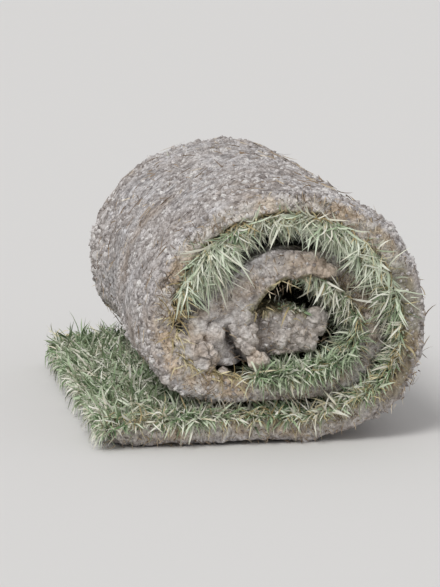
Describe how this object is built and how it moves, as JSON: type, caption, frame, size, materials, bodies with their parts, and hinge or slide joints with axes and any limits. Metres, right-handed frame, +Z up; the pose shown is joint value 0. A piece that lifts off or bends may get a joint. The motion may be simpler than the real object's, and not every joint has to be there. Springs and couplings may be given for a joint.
{
  "type": "roll of turf",
  "caption": "Strip of cut lawn turf rolled up with its grass inside and its soil side out, lying on its side, with a spiral showing on each end and an arched hollow through the middle.",
  "frame": {"origin": "middle of the box around the roll, on the floor that it lies on", "axes": "+Y along the roll, away from the end that faces the viewer; +Z up; +X to the right as that end is seen, so the outer free end lies on the floor on the -X side"},
  "size_m": [0.2722, 0.4, 0.2143],
  "materials": {
    "soil": "dry crumbly loam held together by roots",
    "grass": "flattened green grass with pale straw in it"
  },
  "bodies": {
    "root": {"turf_roll": "soil"}
  },
  "joints": []
}
